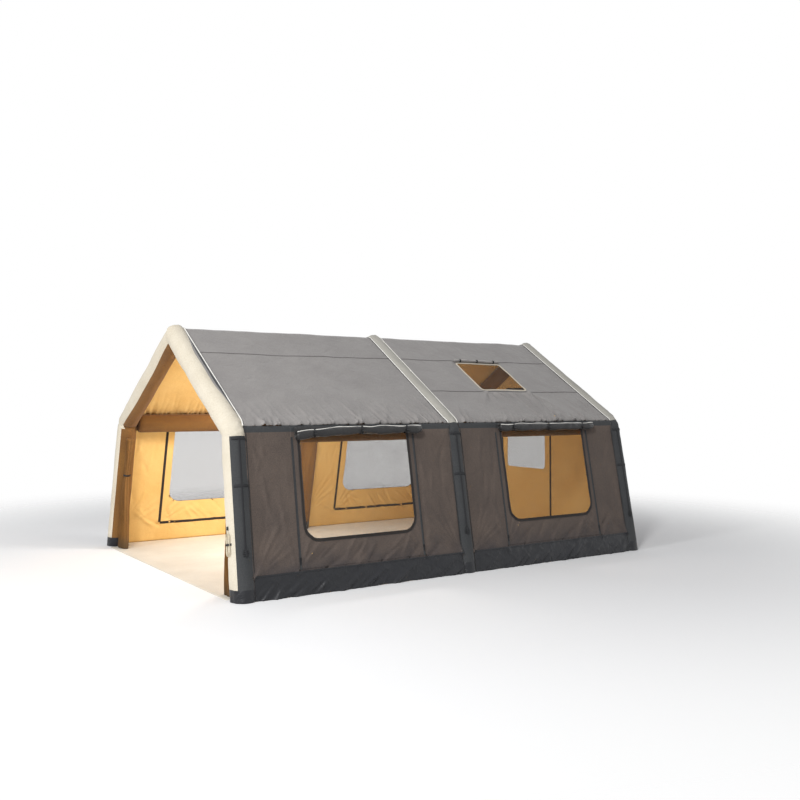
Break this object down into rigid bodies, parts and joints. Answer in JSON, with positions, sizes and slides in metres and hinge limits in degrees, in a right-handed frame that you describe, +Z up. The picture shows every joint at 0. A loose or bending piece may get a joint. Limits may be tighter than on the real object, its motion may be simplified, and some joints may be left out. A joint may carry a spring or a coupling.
{
  "type": "inflatable tent",
  "caption": "Ridge-roofed inflatable cabin tent with air-tube arches, open front gable, zip-in side doors with netted windows, a skylight and a hinged rear door.",
  "frame": {"origin": "on the ground at the middle of the plan", "axes": "+X to the side with the skylight, +Y along the tent from the open front gable to the rear gable, +Z up"},
  "size_m": [3.5992, 4.8083, 2.385],
  "materials": {
    "air_tube": "satin",
    "sleeve": "woven matte",
    "beam": "woven matte",
    "roof": "coated matte",
    "wall": "woven matte",
    "skirt": "coated matte",
    "net": "fine mesh",
    "rolled_cover": "coated matte",
    "zip": "satin",
    "door_cloth": "woven matte",
    "groundsheet": "coated matte",
    "valve": "satin",
    "guy_line": "braided"
  },
  "bodies": {
    "tent": {"far_front_curtain": "door_cloth", "far_front_eave_beam": "beam", "far_front_roof_panel": "roof", "far_front_side_wall": "wall", "far_front_skirt": "skirt", "far_rear_eave_beam": "beam", "far_rear_roof_panel": "roof", "far_rear_side_wall": "wall", "far_rear_skirt": "skirt", "front_arch_sleeve": "sleeve", "front_arch_tube": "air_tube", "front_ridge_beam": "beam", "groundsheet": "groundsheet", "guy_line_hank": "guy_line", "inflation_valve": "valve", "mid_arch_sleeve": "sleeve", "mid_arch_tube": "air_tube", "near_front_curtain": "door_cloth", "near_front_eave_beam": "beam", "near_front_roof_panel": "roof", "near_front_side_wall": "wall", "near_front_skirt": "skirt", "near_rear_eave_beam": "beam", "near_rear_roof_panel": "roof", "near_rear_side_wall": "wall", "near_rear_skirt": "skirt", "rear_arch_sleeve": "sleeve", "rear_arch_tube": "air_tube", "rear_gable_wall": "wall", "rear_ridge_beam": "beam", "skylight_cover": "roof", "skylight_net": "net"},
    "near_front_side_door": {"near_front_side_door": "wall", "near_front_window_net": "net", "near_front_window_cover": "rolled_cover"},
    "near_front_front_slider": {"near_front_front_slider": "zip"},
    "near_front_back_slider": {"near_front_back_slider": "zip"},
    "far_front_side_door": {"far_front_side_door": "wall", "far_front_window_net": "net", "far_front_window_cover": "rolled_cover"},
    "far_front_front_slider": {"far_front_front_slider": "zip"},
    "far_front_back_slider": {"far_front_back_slider": "zip"},
    "near_rear_side_door": {"near_rear_side_door": "wall", "near_rear_window_net": "net", "near_rear_window_cover": "rolled_cover"},
    "near_rear_front_slider": {"near_rear_front_slider": "zip"},
    "near_rear_back_slider": {"near_rear_back_slider": "zip"},
    "far_rear_side_door": {"far_rear_side_door": "wall", "far_rear_window_net": "net", "far_rear_window_cover": "rolled_cover"},
    "far_rear_front_slider": {"far_rear_front_slider": "zip"},
    "far_rear_back_slider": {"far_rear_back_slider": "zip"},
    "rear_door": {"rear_door": "wall", "rear_door_net": "net", "rear_door_cover": "rolled_cover"},
    "rear_door_slider": {"rear_door_slider": "zip"},
    "valve_cap": {"valve_cap": "valve"}
  },
  "joints": [
    {"name": "near_front_door_lift", "type": "hinge", "parent": "tent", "child": "near_front_side_door", "pos_m": [1.49889, -1.1475, 1.40839], "axis": [0, -1, 0], "range_deg": [0, 80]},
    {"name": "near_front_front_slider_slide", "type": "slide", "parent": "near_front_side_door", "child": "near_front_front_slider", "axis": [-0.1909, 0, 0.9816], "range_m": [0, 0.97]},
    {"name": "near_front_back_slider_slide", "type": "slide", "parent": "near_front_side_door", "child": "near_front_back_slider", "axis": [-0.1909, 0, 0.9816], "range_m": [0, 0.97]},
    {"name": "far_front_door_lift", "type": "hinge", "parent": "tent", "child": "far_front_side_door", "pos_m": [-1.49889, -1.1475, 1.40839], "axis": [0, 1, 0], "range_deg": [0, 80]},
    {"name": "far_front_front_slider_slide", "type": "slide", "parent": "far_front_side_door", "child": "far_front_front_slider", "axis": [0.1909, 0, 0.9816], "range_m": [0, 0.97]},
    {"name": "far_front_back_slider_slide", "type": "slide", "parent": "far_front_side_door", "child": "far_front_back_slider", "axis": [0.1909, 0, 0.9816], "range_m": [0, 0.97]},
    {"name": "near_rear_door_lift", "type": "hinge", "parent": "tent", "child": "near_rear_side_door", "pos_m": [1.49889, 1.1695, 1.40839], "axis": [0, -1, 0], "range_deg": [0, 80]},
    {"name": "near_rear_front_slider_slide", "type": "slide", "parent": "near_rear_side_door", "child": "near_rear_front_slider", "axis": [-0.1909, 0, 0.9816], "range_m": [0, 0.97]},
    {"name": "near_rear_back_slider_slide", "type": "slide", "parent": "near_rear_side_door", "child": "near_rear_back_slider", "axis": [-0.1909, 0, 0.9816], "range_m": [0, 0.97]},
    {"name": "far_rear_door_lift", "type": "hinge", "parent": "tent", "child": "far_rear_side_door", "pos_m": [-1.49889, 1.1695, 1.40839], "axis": [0, 1, 0], "range_deg": [0, 80]},
    {"name": "far_rear_front_slider_slide", "type": "slide", "parent": "far_rear_side_door", "child": "far_rear_front_slider", "axis": [0.1909, 0, 0.9816], "range_m": [0, 0.97]},
    {"name": "far_rear_back_slider_slide", "type": "slide", "parent": "far_rear_side_door", "child": "far_rear_back_slider", "axis": [0.1909, 0, 0.9816], "range_m": [0, 0.97]},
    {"name": "rear_door_hinge", "type": "hinge", "parent": "tent", "child": "rear_door", "pos_m": [-0.45, 2.297, 0.9], "axis": [0, 0, 1], "range_deg": [0, 110]},
    {"name": "rear_door_slider_slide", "type": "slide", "parent": "rear_door", "child": "rear_door_slider", "axis": [0, 0, 1], "range_m": [0, 1.45]},
    {"name": "valve_cap_flip", "type": "hinge", "parent": "tent", "child": "valve_cap", "pos_m": [1.61807, 2.1734, 0.38552], "axis": [-0.9816, 0, -0.1909], "range_deg": [0, 150]}
  ]
}
